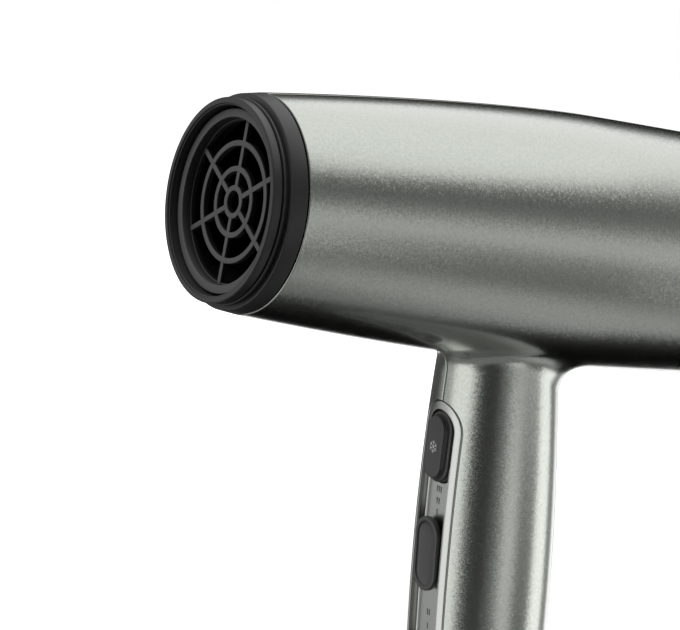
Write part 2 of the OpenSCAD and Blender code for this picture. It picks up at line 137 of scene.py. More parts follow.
def solid(name, patches, body, material, nodes=(), sharp=35):
    """A mesh from grids of points (rows x columns x 3), welded where they meet, facing outward."""
    faces, start = [], 0
    for p in patches:
        rows, cols = p.shape[:2]
        a = start + np.arange(rows * cols).reshape(rows, cols)
        faces.append(np.stack([a[:-1, :-1], a[1:, :-1], a[1:, 1:], a[:-1, 1:]], -1).reshape(-1, 4))
        start += rows * cols
    points = np.concatenate([p.reshape(-1, 3) for p in patches]) * MM
    mesh = bpy.data.meshes.new(name)
    mesh.from_pydata(points.tolist(), [], np.concatenate(faces).tolist())
    bm = bmesh.new()
    bm.from_mesh(mesh)
    bmesh.ops.remove_doubles(bm, verts=bm.verts, dist=2e-6)
    bmesh.ops.dissolve_degenerate(bm, edges=bm.edges, dist=1e-7)
    bmesh.ops.recalc_face_normals(bm, faces=bm.faces)
    bm.to_mesh(mesh)
    bm.free()
    mesh.shade_smooth()
    mesh.set_sharp_from_angle(angle=radians(sharp))
    mesh.materials.append(material)
    piece = bpy.data.objects.new(name, mesh)
    bpy.context.scene.collection.objects.link(piece)
    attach(piece, body)
    if nodes:
        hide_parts(*nodes)
    return piece


def rounded(corners, steps=5):
    """A closed outline from corners (a, b, radius): an arc tangent to both sides replaces each corner."""
    c = np.array(corners, float)
    p, r = c[:, :2], c[:, 2:3]
    u, v = np.roll(p, 1, 0) - p, np.roll(p, -1, 0) - p
    u /= np.linalg.norm(u, axis=1, keepdims=True)
    v /= np.linalg.norm(v, axis=1, keepdims=True)
    half = np.arccos(np.clip((u * v).sum(1, keepdims=True), -1, 1)) / 2
    mid = (u + v) / np.maximum(np.linalg.norm(u + v, axis=1, keepdims=True), 1e-9)
    centre = p + mid * r / np.sin(half)
    a, b = p + u * r / np.tan(half) - centre, p + v * r / np.tan(half) - centre
    turn = np.maximum(pi - 2 * half, 1e-4)[:, None]
    k = np.linspace(0, 1, steps + 1)[None, :, None]
    arc = (np.sin((1 - k) * turn) * a[:, None] + np.sin(k * turn) * b[:, None]) / np.sin(turn)
    points = (centre[:, None] + arc).reshape(-1, 2)
    return np.concatenate([points, points[:1]])


def turned(outline, place, n=128):
    """A closed outline (radius, distance along) turned once round an axis."""
    t = np.linspace(0, 2 * pi, n + 1)[:, None]
    r, along = outline[None, :, 0], outline[None, :, 1]
    return place(along + 0 * t, r * np.cos(t), r * np.sin(t))


def stadium(l, w, n=24):
    """Outline of a bar with round ends as (along, across): two half circles joined by straight sides."""
    a = np.linspace(-pi / 2, pi / 2, n + 1)
    straight = np.linspace(1, -1, 15)[1:-1]
    half = (l - w) / 2
    top = np.stack([half + w / 2 * np.cos(a), w / 2 * np.sin(a)], 1)
    side = np.stack([half * straight, np.full(straight.shape, w / 2)], 1)
    one = np.concatenate([top, side])
    return np.concatenate([one, -one, one[:1]])


def stepped(l, w, profile, n=24):
    """Loops (height, then along, across) of a stadium shrunk by each profile (inset, height)."""
    loops = [stadium(max(l - 2 * d, 1e-3 + l - w), max(w - 2 * d, 1e-3), n) for d, _ in profile]
    along, across = np.stack(loops)[..., 0], np.stack(loops)[..., 1]
    height = np.array([h for _, h in profile])[:, None] + 0 * along
    return along, across, height


def swept(outline, path, side, up):
    """A closed outline (side, up) carried along a path, both ends gathered to a point."""
    ring = path[:, None] + outline[None, :, :1] * side[:, None] + outline[None, :, 1:] * up[:, None]
    ends = [np.repeat(ring[i, :-1].mean(0)[None], ring.shape[1], 0) for i in (0, -1)]
    return np.concatenate([ends[0][None], ring, ends[1][None]])


# ---- Finishes ----

FLAKE_MM = 0.27


def rgb(hexa):
    """sRGB hex colour as linear RGBA."""
    c = np.array([int(hexa[i : i + 2], 16) for i in (0, 2, 4)]) / 255
    c = np.where(c <= 0.04045, c / 12.92, ((c + 0.055) / 1.055) ** 2.4)
    return (*c.tolist(), 1.0)


def add(tree, kind, inputs=None, **settings):
    """Adds a node, sets its properties, and sets or links each named input."""
    n = tree.nodes.new("ShaderNode" + kind)
    for key, value in settings.items():
        setattr(n, key, value)
    for key, value in (inputs or {}).items():
        if isinstance(value, bpy.types.NodeSocket):
            tree.links.new(value, n.inputs[key])
        else:
            n.inputs[key].default_value = value
    return n


def finish(name, **uniform):
    """A new material with a Principled shader, its uniform values set on the shader's own sockets."""
    m = bpy.data.materials.new(name)
    m.use_nodes = True
    tree = m.node_tree
    shader = tree.nodes["Principled BSDF"]
    for key, value in uniform.items():
        shader.inputs[key.replace("_", " ")].default_value = value
    place = add(tree, "TexCoord").outputs["Object"]
    return m, tree, shader, place


def noise(tree, place, size_mm, detail=2.0, rough=0.5):
    """A cloudy pattern whose features are about size_mm across."""
    inputs = {"Vector": place, "Scale": 1 / (size_mm * MM), "Detail": detail, "Roughness": rough}
    return add(tree, "TexNoise", inputs).outputs["Fac"]


def span(tree, value, low_out, high_out, low_in=0.3, high_in=0.7):
    """Maps a pattern's usual range onto a range of numbers."""
    inputs = {"Value": value, "From Min": low_in, "From Max": high_in}
    inputs |= {"To Min": low_out, "To Max": high_out}
    return add(tree, "MapRange", inputs).outputs["Result"]


def tint(tree, value, dark, light):
    """Colours between two sRGB hex colours, by a pattern."""
    n = add(tree, "Mix", {"Factor": value, "A": rgb(dark), "B": rgb(light)}, data_type="RGBA")
    return n.outputs["Result"]


def bump(tree, shader, height, depth_mm, strength=1.0, socket="Normal"):
    """Raises the surface by a pattern, depth_mm from lowest to highest."""
    n = add(tree, "Bump", {"Height": height, "Distance": depth_mm * MM, "Strength": strength})
    tree.links.new(n.outputs["Normal"], shader.inputs[socket])


def plastic(name, dark, light, roughness, grain_mm, depth_mm, spread=0.08):
    """Moulded plastic: a faint two-tone mottle, a fine spark-eroded grain and slightly uneven gloss."""
    m, tree, shader, place = finish(name)
    mottle = noise(tree, place, 9)
    grain = noise(tree, place, grain_mm, 3)
    tree.links.new(tint(tree, mottle, dark, light), shader.inputs["Base Color"])
    gloss = span(tree, mottle, roughness - spread / 2, roughness + spread / 2)
    tree.links.new(gloss, shader.inputs["Roughness"])
    bump(tree, shader, grain, depth_mm)
    return m


def air_path(name, front_mm, reach_mm):
    """Glass-filled heatproof polymer: a dull grained face, and everything further back than its front darkened
    to near black, as painted shade of the deep outlet as well as heat-browning and dust from the hot air."""
    m, tree, shader, place = finish(name)
    grain = noise(tree, place, 0.15, 3)
    mottle = noise(tree, place, 9)
    behind = add(tree, "SeparateXYZ", {"Vector": place}).outputs["X"]
    # Painted shade: this mask darkens the colour and dulls the gloss behind the front face, for the outlet's deep
    # shade as well as heat and dust.
    soot_and_shade = span(tree, behind, 0, 1, front_mm * MM, (front_mm + reach_mm) * MM)
    face = tint(tree, mottle, "383838", "414141")
    mixed = add(tree, "Mix", {"Factor": soot_and_shade, "A": face, "B": rgb("0B0B0B")}, data_type="RGBA")
    tree.links.new(mixed.outputs["Result"], shader.inputs["Base Color"])
    tree.links.new(span(tree, soot_and_shade, 0.5, 0.75, 0, 1), shader.inputs["Roughness"])
    bump(tree, shader, grain, 0.008)
    return m


def metal(name, colour, roughness, grain_mm, stretch=(1, 1, 1)):
    """Worked metal: fine streaks left by drawing or turning, which change its gloss and tone a little."""
    m, tree, shader, place = finish(name, Metallic=1.0)
    long = add(tree, "Mapping", {"Vector": place, "Scale": stretch}).outputs["Vector"]
    streak = noise(tree, long, grain_mm, 3)
    tree.links.new(tint(tree, streak, *colour), shader.inputs["Base Color"])
    tree.links.new(span(tree, streak, roughness - 0.06, roughness + 0.06), shader.inputs["Roughness"])
    return m


def lacquer():
    """Metallic lacquer sprayed on moulded plastic: clusters of aluminium flakes a quarter of a millimetre
    across lie nearly flat in a warm grey coat, a few of them tilted more, under a thin clear coat with
    a light orange peel, so that they glitter most where the coat itself is dark."""
    coat = {"Coat_Weight": 1.0, "Coat_Roughness": 0.1, "Coat_IOR": 1.5}
    m, tree, shader, place = finish("metallic_grey_lacquer", Metallic=1.0, **coat)
    cells = {"Vector": place, "Scale": 1 / (FLAKE_MM * MM)}
    flake = add(tree, "TexVoronoi", cells, feature="F1").outputs["Color"]
    cloud = noise(tree, place, 0.9, 2)
    tree.links.new(tint(tree, span(tree, cloud, 0, 1), "9BA098", "A4A8A1"), shader.inputs["Base Color"])
    pick = add(tree, "SeparateColor", {"Color": flake})
    tree.links.new(span(tree, pick.outputs["Green"], 0.2, 0.27, 0, 1), shader.inputs["Roughness"])
    few = add(tree, "Math", {0: pick.outputs["Blue"], 1: 4.0}, operation="POWER").outputs["Value"]
    lean = span(tree, few, 0.08, 0.17, 0, 1)
    flat = add(tree, "NewGeometry").outputs["Normal"]
    tilt = add(tree, "VectorMath", {0: flake, 1: (0.5, 0.5, 0.5)}, operation="SUBTRACT").outputs["Vector"]
    tilted = add(tree, "VectorMath", {0: tilt, 1: lean, 2: flat}, operation="MULTIPLY_ADD").outputs["Vector"]
    unit = add(tree, "VectorMath", {0: tilted}, operation="NORMALIZE").outputs["Vector"]
    tree.links.new(unit, shader.inputs["Normal"])
    peel = noise(tree, place, 2.4, 1)
    bump(tree, shader, peel, 0.01, 0.6, "Coat Normal")
    return m


def panel_finish():
    """Light grey insert: satin lacquer with a little fine pearl over a smooth moulding."""
    m, tree, shader, place = finish("satin_grey_insert", Metallic=1.0)
    pearl = noise(tree, place, 0.3, 2)
    tree.links.new(tint(tree, span(tree, pearl, 0, 1), "A9ABA8", "B9BBB7"), shader.inputs["Base Color"])
    tree.links.new(span(tree, pearl, 0.28, 0.36), shader.inputs["Roughness"])
    bump(tree, shader, pearl, 0.004, 0.5)
    return m


def mica_finish():
    """Pressed mica sheet: tan, with pale scales some millimetres across and a dull sheen."""
    m, tree, shader, place = finish("pressed_mica")
    scale = add(tree, "TexVoronoi", {"Vector": place, "Scale": 1 / (2.6 * MM)}, feature="F1")
    pick = add(tree, "SeparateColor", {"Color": scale.outputs["Color"]}).outputs["Red"]
    tree.links.new(tint(tree, pick, "8D7A5B", "C2B08A"), shader.inputs["Base Color"])
    tree.links.new(span(tree, pick, 0.42, 0.62, 0, 1), shader.inputs["Roughness"])
    return m


def board_finish():
    """Printed circuit board: green solder mask with the tracks' paler relief showing through."""
    m, tree, shader, place = finish("solder_masked_board", Coat_Weight=0.3)
    inputs = {"Vector": place, "Scale": 1 / (6 * MM), "Mortar Size": 0.03}
    inputs |= {"Color1": (0, 0, 0, 1), "Color2": (0.3, 0.3, 0.3, 1), "Mortar": (1, 1, 1, 1)}
    track = add(tree, "TexBrick", inputs)
    tree.links.new(tint(tree, track.outputs["Color"], "124226", "2E6A3F"), shader.inputs["Base Color"])
    tree.links.new(span(tree, track.outputs["Fac"], 0.3, 0.42, 0, 1), shader.inputs["Roughness"])
    return m


LACQUER = lacquer()
PANEL = panel_finish()
# Satin black housing mouldings, etched fine by their tool.
BLACK = plastic("satin_black_moulding", "242424", "2B2B2C", 0.42, 0.12, 0.006)
# The outlet's tunnel and grille, heatproof and dull, darkened behind their front faces by painted shade as well as
# heat and dust.
GUIDE = air_path("heatproof_guide_moulding", 2.9, 3.2)
GRILLE = air_path("heatproof_grille_moulding", 5.25, 0.35)
# Controls: soft matt dark grey, a finer grain than the housing's.
CONTROL = plastic("matt_grey_control_moulding", "3C3C3C", "444444", 0.4, 0.1, 0.005)
# Cord entry: rubber with a dusty matt surface.
RUBBER = plastic("matt_black_rubber", "1D1D1E", "262627", 0.68, 0.2, 0.02)
# Pad-printed ink, a thin dull layer.
INK = plastic("printed_dark_ink", "5C5E5D", "666867", 0.6, 0.2, 0.002)
PALE_INK = plastic("printed_pale_ink", "DCDCDC", "E4E4E4", 0.55, 0.2, 0.002)
# Fan and duct: glass-filled nylon, showing flow marks.
NYLON = plastic("glass_filled_nylon", "27282B", "34363A", 0.55, 0.3, 0.015)
MICA = mica_finish()
# Drawn resistance wire, dulled by its own heat.
WIRE = metal("drawn_resistance_wire", ("6E6862", "A39A90"), 0.42, 0.4)
# Zinc-plated steel, with drawing streaks along the barrel.
STEEL = metal("zinc_plated_steel", ("A6A8AA", "C6C8CA"), 0.32, 0.5, (0.12, 1, 1))
# Oil-filled sintered bronze, with fine open pores.
BRONZE = metal("sintered_bronze", ("7D5E34", "A07C48"), 0.5, 0.15)
# Copper, drawn and enamelled, or punched for contacts.
COPPER = metal("drawn_copper", ("9C5A34", "C47D50"), 0.3, 0.3, (1, 0.2, 1))
# Pressed ferrite and carbon, dull and granular.
FERRITE = plastic("pressed_ferrite", "2B2B2E", "3A3A3D", 0.7, 0.2, 0.01)
# Glazed ceramic body of the fuse.
CERAMIC = plastic("glazed_ceramic", "DAD6CB", "E8E5DB", 0.2, 1.5, 0.003)
# Dipped film capacitor: glossy yellow epoxy.
EPOXY = plastic("yellow_epoxy_dip", "B98A22", "CB9A2C", 0.25, 1.2, 0.01)
# Extruded silicone sleeve on the inner wires.
SLEEVE = plastic("red_silicone_sleeve", "7E1F1C", "8F2A25", 0.5, 0.4, 0.004)
BOARD = board_finish()

FINISH = {
    "barrel_paint": LACQUER,
    "black_plastic": BLACK,
    "black_rubber": RUBBER,
    "control_plastic": CONTROL,
    "mark_print": INK,
    "panel_satin": PANEL,
    "fan_plastic": NYLON,
    "mica_sheet": MICA,
    "resistance_wire": WIRE,
    "plated_steel": STEEL,
    "ceramic_white": CERAMIC,
    "ferrite": FERRITE,
    "sintered_bronze": BRONZE,
    "copper_wire": COPPER,
    "circuit_board": BOARD,
    "capacitor_film": EPOXY,
    "wire_sleeve": SLEEVE,
}
for part in record["subparts"]:
    node = frame["nodes"][part["node"]]
    node.data.materials.clear()
    node.data.materials.append(FINISH[part["material_slot"]])


# ---- Housing ----

EDGE = 0.3
# Columns over an edge: distance along the surface, then depth below it.
EDGE_COLUMNS = [(0, 2.2), (0, EDGE), (0.09, 0.09), (EDGE, 0)]


def shell_columns(count):
    """Columns round a half shell's wall: share of the outer arc, shift from its edge and depth."""
    v = 0.5 - 0.5 * np.cos(np.linspace(0, pi, count))
    v = 0.35 * v + 0.65 * np.linspace(0, 1, count)
    first = [(0, e, d) for e, d in EDGE_COLUMNS]
    last = [(1, -e, d) for e, d in EDGE_COLUMNS[::-1]]
    outer = [(t, 0, 0) for t in v[1:-1]]
    inner = [(t, 0, WALL) for t in np.linspace(1, 0, 24)[1:]]
    return np.array(first + outer + last + inner).T


def rounded_end(x, start, end):
    """How far the outside drops at a rounded end: a quarter circle of EDGE over the last EDGE."""
    near = np.clip(EDGE - np.minimum(x - start, end - x), 0, EDGE)
    return EDGE - np.sqrt(EDGE**2 - near**2)


def end_rows(start, end, count):
    """Places from start to end, crowded into each rounded end."""
    tip = EDGE * (1 - np.cos(np.linspace(0, pi / 2, 5)))
    middle = np.linspace(start + 2 * EDGE, end - 2 * EDGE, count)
    return np.concatenate([start + tip, middle, end - tip[::-1]])


def capped(wall):
    """A shell wall (rows x closed columns) with its two ends filled between outside and inside."""
    n = wall.shape[1]
    half = n // 2
    caps = [np.stack([wall[i, :half], wall[i, ::-1][:half]]) for i in (0, -1)]
    seam = [wall[i, half - 1 : n - half + 1][None] for i in (0, -1)]
    return [wall, *caps] + [np.concatenate([s, s[:, ::-1]]) for s in seam if s.shape[1] > 1]


def barrel_half(side):
    """Half of the barrel's wall: a ring of columns round a C-shaped section, for each place along X."""
    x = end_rows(SHELL_X0, SHELL_X1, 110)[:, None]
    share, shift, depth = shell_columns(97)
    r = barrel_at(x) - depth
    skin = depth < WALL - 0.01
    r = np.where(skin, r - rounded_end(x, SHELL_X0, SHELL_X1), r)
    edge = SEAM / barrel_at(x)
    a = -pi / 2 + edge + share * (pi - 2 * edge) + shift / barrel_at(x)
    return on_barrel(x + 0 * a, r * np.sin(a), side * r * np.cos(a))


def panel_reach(s, grow):
    """Half width of the panel's stadium outline at s, with the outline grown by some millimetres."""
    r = PANEL_HALF + grow
    d = np.maximum(np.maximum(PANEL_TOP + PANEL_HALF - s, s - PANEL_BOTTOM + PANEL_HALF), 0)
    return np.sqrt(np.clip(r**2 - d**2, 0, None))


def handle_line(s, a, depth=0.0):
    """Point on the grip at s down the handle and angle a from its front, some way below its surface."""
    r = grip_at(s) - depth
    return on_handle(s, r * np.cos(a), r * np.sin(a))


def root_at(a, depth=0.0):
    """Where each line down the grip meets the barrel, by halving the interval."""
    lo_s, hi_s = np.full_like(a, 15.0), np.full_like(a, 60.0)
    for _ in range(40):
        mid = (lo_s + hi_s) / 2
        p = handle_line(mid, a, depth)
        inside = np.hypot(p[..., 1], p[..., 2]) < barrel_at(p[..., 0]) - depth
        lo_s, hi_s = np.where(inside, mid, lo_s), np.where(inside, hi_s, mid)
    return lo_s


def fillet(a, depth, t):
    """Blend from the barrel (t 0) to the grip (t 1), along a curve tangent to both surfaces."""
    back = (1 - np.cos(a)) / 2
    reach = 7.0 - 4.2 * np.sin(a) ** 2 * (1 - back) + 6.0 * back**3 - 1.2 * back * (1 - back) * 4
    s = root_at(a, depth)
    corner = handle_line(s, a, depth)
    outward = np.cos(a)[..., None] * FRONT + np.sin(a)[..., None] * ACROSS
    p = corner + reach[..., None] * outward
    r = barrel_at(p[..., 0]) - depth + 0.01
    scale = r / np.hypot(p[..., 1], p[..., 2])
    start = np.stack([p[..., 0], p[..., 1] * scale, p[..., 2] * scale], -1)
    slope = (barrel_at(p[..., 0] + 0.1) - barrel_at(p[..., 0] - 0.1)) / 0.2
    normal = np.stack([-slope, start[..., 1] / r, start[..., 2] / r], -1)
    end = handle_line(s + reach, a, depth)
    line = handle_line(s + reach - 0.5, a, depth) - end
    k = ((start - end) * normal).sum(-1) / (line * normal).sum(-1)
    knee = end + k[..., None] * line
    return (1 - t) ** 2 * start + 2 * t * (1 - t) * knee + t**2 * end, s + reach


def handle_half(side):
    """Half of the grip's wall: its top rows blend into the barrel and its front edge follows the
    seam and then the outline of the control panel's opening."""
    share, shift, depth = shell_columns(61)
    arch = PANEL_HALF * (1 - np.cos(np.linspace(0, pi / 2, 22)))
    fine = np.concatenate([PANEL_TOP - GAP / 2 + arch, PANEL_BOTTOM + GAP / 2 - arch])
    rows = np.linspace(52.45, HANDLE_LEN, 74)
    rows = np.sort(np.concatenate([fine, rows, end_rows(60, HANDLE_LEN, 2)[-6:]]))
    rows = rows[np.concatenate([[True], np.diff(rows) > 0.004])]

    def angles(s, reach):
        r = grip_at(s)
        first = np.arcsin(np.clip(np.maximum(reach, SEAM) / r, 0, 1))
        last = pi - SEAM / r
        return first + share * (last - first) + shift / r

    a0 = angles(np.full((1, 1), 45.0), 0.0)[0]
    top, s0 = fillet(a0[None], depth[None], np.linspace(0, 1, 19)[:, None, None])
    s = rows[:, None]
    a = angles(s, panel_reach(s, GAP / 2))
    drop = np.where(depth < WALL - 0.01, rounded_end(s, 0, HANDLE_LEN), 0)
    s = s + np.maximum(s0 + 0.8 - rows[0], 0) * np.clip(1 - (s - rows[0]) / 40, 0, 1) ** 2
    straight = handle_line(s + 0 * a, a, depth + drop)
    mix = np.linspace(0, 1, 9)[1:-1, None]
    between = (1 - mix) * s0 + mix * s[:1]
    middle = handle_line(between, (1 - mix) * a0 + mix * a[:1], depth)
    wall = np.concatenate([top, middle, straight])
    wall[..., 1] *= side
    return wall


for side, name in ((-1, "left"), (1, "right")):
    patches = capped(barrel_half(side)) + capped(handle_half(side))
    solid(f"housing_{name}_shell", patches, "housing", LACQUER, [f"housing_{name}"], 50)


# ---- Control panel ----

BUTTON_S, BUTTON_HALF_L, BUTTON_HALF_W = 67.4, 12.0, 6.6


def panel_height(s, y):
    """Height of the insert: flush with the grip at its rim, an upright wall, a small cove, a flat floor."""
    mid = np.clip(s, PANEL_TOP + PANEL_HALF, PANEL_BOTTOM - PANEL_HALF)
    rho = np.hypot(s - mid, y)
    rim = np.sqrt(grip_at(s) ** 2 - np.minimum(rho, 9.4) ** 2 * (np.abs(y) / np.maximum(rho, 1e-6)) ** 2)
    floor = grip_at(s) - TROUGH_DEPTH
    t = np.clip((rho - COVE_START) / (TROUGH_HALF - 0.1 - COVE_START), 0, 1)
    turn = 0.985
    rise = (1 - np.sqrt(1 - (turn * t) ** 2)) / (1 - np.sqrt(1 - turn**2))
    return floor + (rim - floor) * rise


def panel_rim():
    """The insert's rim: a thin bar's section carried round the stadium outline."""
    outer, inner, deep = PANEL_HALF - GAP / 2, TROUGH_HALF - 0.12, 7.0
    section = [(outer, 4.0), (outer, 0.3), (outer - 0.09, 0.09), (outer - 0.3, 0)]
    section += [(w, 0) for w in np.linspace(outer - 0.8, inner + 0.7, 5)]
    section += [(inner + 0.25, 0), (inner + 0.07, 0.07), (inner, 0.25)]
    section += [(inner, deep), (outer, deep), (outer, 4.0)]
    reach, depth = np.array(section).T
    half = (PANEL_BOTTOM - PANEL_TOP) / 2
    middle = (PANEL_BOTTOM + PANEL_TOP) / 2
    loops = []
    for r in reach:
        a = np.linspace(-pi / 2, pi / 2, 41)
        straight = np.linspace(1, -1, 81)[1:-1]
        end = np.stack([half - PANEL_HALF + r * np.cos(a), r * np.sin(a)], 1)
        edge = np.stack([(half - PANEL_HALF) * straight, np.full(straight.shape, r)], 1)
        one = np.concatenate([end, edge])
        loops.append(np.concatenate([one, -one, one[:1]]))
    loops = np.stack(loops)
    s, y = middle + loops[..., 0], loops[..., 1]
    top = np.sqrt(grip_at(s) ** 2 - y**2) - 0.03
    return on_handle(s, top - depth[:, None], y)


def panel_floor():
    """The insert's trough: rows run from the button's opening, bent to its arc, to the lower end."""
    y = (TROUGH_HALF - 0.03) * np.sin(np.linspace(-pi / 2, pi / 2, 91))[None]
    arc = BUTTON_S + BUTTON_HALF_L - BUTTON_HALF_W + np.sqrt(np.clip(BUTTON_HALF_W**2 - y**2, 0, None))
    end = PANEL_BOTTOM - PANEL_HALF + np.sqrt(np.clip((TROUGH_HALF - 0.03) ** 2 - y**2, 0, None))
    near = np.array([0, 0.02, 0.08, 0.18, 0.3])[:, None]
    crowded = 1 - 0.1 * (1 - np.linspace(0, 1, 24)[1:]) ** 1.6
    t = np.concatenate([np.linspace(0.006, 0.9, 80), crowded])[:, None]
    s = np.concatenate([arc + near, arc + 0.3 + t * (end - arc - 0.3)])
    dip = np.concatenate([0.3 - np.sqrt(0.3**2 - (0.3 - near) ** 2) + 0 * y, 0 * (t + y)])
    top = panel_height(s, y + 0 * s) - dip
    under = grip_at(s) - TROUGH_DEPTH - 1.4
    rows = np.stack([s, top]), np.stack([s, under])
    up, down = (on_handle(r[0], r[1], y + 0 * s) for r in rows)
    sides = [np.stack([up[i], down[i]]) for i in (0, -1)]
    sides += [np.stack([up[:, i], down[:, i]]) for i in (0, -1)]
    return [up, down, *sides]


insert = [panel_rim(), *panel_floor()]
solid("control_panel_insert", insert, "housing", PANEL, ["switch_panel"], 40)


# ---- Controls ----

# Height of the point that the cool-shot button's frame leans about.
PIVOT = 20.0
HEAT_S, SPEED_S = 102.6, 145.3


def bar_patches(centre, tilt, l, w, profile, n=24):
    """A bar with round ends, standing out of the handle's front and tilted with its face: the profile
    (inset, height) is carried round a stadium, and its first and last loops are filled."""
    along, across, height = stepped(l, w, profile, n)
    s = centre - along * cos(tilt) - (height - PIVOT) * sin(tilt)
    out = PIVOT + (height - PIVOT) * cos(tilt) - along * sin(tilt)
    wall = on_handle(s, out, across)
    middle = np.stack([wall[0], np.repeat(wall[0, :-1].mean(0)[None], wall.shape[1], 0)])
    return [wall, middle]


def slider_piece(name, middle, node):
    """A sliding cap: upright side, rounded brow, narrow flat ridge and a long shallow finger dish,
    on a stem that reaches into the handle."""
    top, side = 22.9, 21.15
    profile = [(0.9, side), (0.25, side), (0.07, side + 0.07), (0, side + 0.3), (0, top - 0.55)]
    profile += [(0.55 - 0.55 * cos(t), top - 0.55 + 0.55 * sin(t)) for t in np.linspace(0.15, pi / 2, 6)]
    profile += [(1.3, top), (1.42, top - 0.04), (1.5, top - 0.14), (1.62, top - 0.5), (1.74, top - 0.64)]
    profile += [(2.2, top - 0.78), (3.0, top - 0.93), (4.2, top - 1.06), (5.4, top - 1.1), (6.1, top - 1.1)]
    stem = [(0, 14.3), (0, 21.6), (2.1, 21.6)]
    patches = bar_patches(middle, 0, 24.4, 12.2, profile) + bar_patches(middle, 0, 6.4, 4.2, stem)
    solid(name, patches, node, CONTROL, [node], 38)


slider_piece("heat_slider_cap", HEAT_S, "heat_slider")
slider_piece("speed_slider_cap", SPEED_S, "speed_slider")

BUTTON_TILT = radians(3.5)
BUTTON_FACE = 22.4


def button_piece():
    """The cool-shot button: a base with a rounded shoulder, a concave flank and a flat rounded face."""
    top, low_edge = BUTTON_FACE, 16.2
    profile = [(-0.8, low_edge - 1.2), (-0.8, low_edge), (0, low_edge), (0, 19.6)]
    profile += [(0.05, 19.95), (0.2, 20.2), (0.42, 20.38)]
    flank = np.linspace(0.15, pi / 2, 8)
    profile += [(0.42 + 1.05 * sin(t), 20.38 + 1.6 * (1 - cos(t))) for t in flank]
    profile += [(1.5, 22.08), (1.58, 22.25), (1.72, 22.36), (1.95, top), (3, top)]
    profile += [(4.2, top - 0.01), (5.4, top - 0.02), (6.1, top - 0.02)]
    patches = bar_patches(BUTTON_S, BUTTON_TILT, 23, 12.2, profile)
    node = "cool_shot_button"
    solid("cool_shot_cap", patches, node, CONTROL, [node], 40)


button_piece()


def snowflake():
    """A six-armed snow crystal of thin raised strokes, three right across and a pair of twigs on each
    arm. Every stroke is a bar with round ends, a hair higher than the one before it."""
    strokes = []
    for k in range(6):
        arm = np.array([cos(k * pi / 3), sin(k * pi / 3)])
        if k < 3:
            strokes.append((-2.0 * arm, 2.0 * arm))
        for turn in (-0.9, 0.9):
            twig = np.array([cos(k * pi / 3 + turn), sin(k * pi / 3 + turn)])
            strokes.append((1.1 * arm, 1.1 * arm + 0.75 * twig))
    patches = []
    a = np.linspace(0, 2 * pi, 17)[:, None]
    for k, (p, q) in enumerate(strokes):
        along = (q - p) / np.linalg.norm(q - p)
        side = np.array([-along[1], along[0]])
        middle = np.repeat(((p + q) / 2)[None], 17, 0)
        ring = np.where(np.cos(a) > 0, q, p) + 0.1 * (np.cos(a) * along + np.sin(a) * side)
        loops = np.stack([middle, ring, ring, middle + 0.8 * (ring - middle), middle])
        h = np.array([-0.1, -0.1, 0.03, 0.05, 0.05])[:, None] + 0.003 * k + BUTTON_FACE + 0 * loops[..., 0]
        s = BUTTON_S - loops[..., 0] * cos(BUTTON_TILT) - (h - PIVOT) * sin(BUTTON_TILT)
        out = PIVOT + (h - PIVOT) * cos(BUTTON_TILT) - loops[..., 0] * sin(BUTTON_TILT)
        patches.append(on_handle(s, out, loops[..., 1]))
    solid("snow_crystal_mark", patches, "cool_shot_button", PALE_INK)


snowflake()


# ---- Outlet ----

LIP_IN = 27.8
ring_outline = rounded([
    (LIP_IN, 0.35, 0.1), (LIP_IN + 0.35, 0.3, 0.05), (LIP_IN + 0.4, -0.3, 0.25),
    (LIP_R, -0.3, 0.7), (LIP_R, 2.75, 0.2), (LIP_R - 0.8, 2.8, 0.15),
    (LIP_R - 0.8, 3.2, 0.1), (LIP_R + 0.4, 3.25, 0.22), (LIP_R + 0.4, 3.9, 0.22),
    (LIP_R - 0.4, 4.1, 0.15), (LIP_R - 0.4, 5.0, 0.1), (LIP_R + 1.66, 5.0, 0.4),
    (NOSE_R - 0.06, BAND_X, 0.3),
    (NOSE_R - 2.3, BAND_X, 0.1), (NOSE_R - 2.3, 20, 0.1), (28, 20, 0.1), (28, 7.5, 0.05),
    (LIP_IN, 7.5, 0.05)], 6)
ring = [turned(ring_outline, on_barrel, 192)]
solid("outlet_lip_ring", ring, "housing", BLACK, ["outlet_ring"], 50)

GUIDE_R, GUIDE_OUT = 24.4, 27.0
guide_end = high("air_guide")[0]
guide_outline = rounded([
    (GUIDE_R, 2.6, 0.35), (GUIDE_OUT, 2.6, 0.3), (GUIDE_OUT, 7.6, 0.05), (27.96, 7.6, 0.05),
    (27.96, 9.6, 0.05), (GUIDE_OUT, 9.6, 0.05), (GUIDE_OUT, guide_end, 0.1),
    (GUIDE_R + 0.6, guide_end, 0.1), (GUIDE_R + 0.6, 7.2, 0.05), (GUIDE_R, 7.2, 0.05)], 6)
flange = [turned(guide_outline, on_barrel, 192)]
solid("air_guide_flange", flange, "housing", GUIDE, ["air_guide"], 50)

GRILLE_X0, GRILLE_X1 = low("outlet_grille")[0], high("outlet_grille")[0]


def barrel_hoop(r, half, x0, x1, edge=0.3):
    """A hoop on the barrel's axis with a rounded section."""
    section = [(r - half, x0, edge), (r + half, x0, edge), (r + half, x1, 0.1), (r - half, x1, 0.1)]
    return turned(rounded(section, 4), on_barrel, 128)


def spoke(angle, r0, r1, half, x0, x1, edge=0.3):
    """A straight bar from r0 to r1 with rounded edges, turned about the barrel's axis."""
    section = rounded([(-half, 0, edge), (half, 0, edge), (half, x1 - x0, 0.1), (-half, x1 - x0, 0.1)], 4)
    out = np.array([0, sin(angle), cos(angle)])
    side = np.array([0, cos(angle), -sin(angle)])
    path = np.array([x0, 0, 0]) + np.array([[r0], [r1]]) * out
    return swept(section, path, np.tile(side, (2, 1)), np.tile([1.0, 0, 0], (2, 1)))


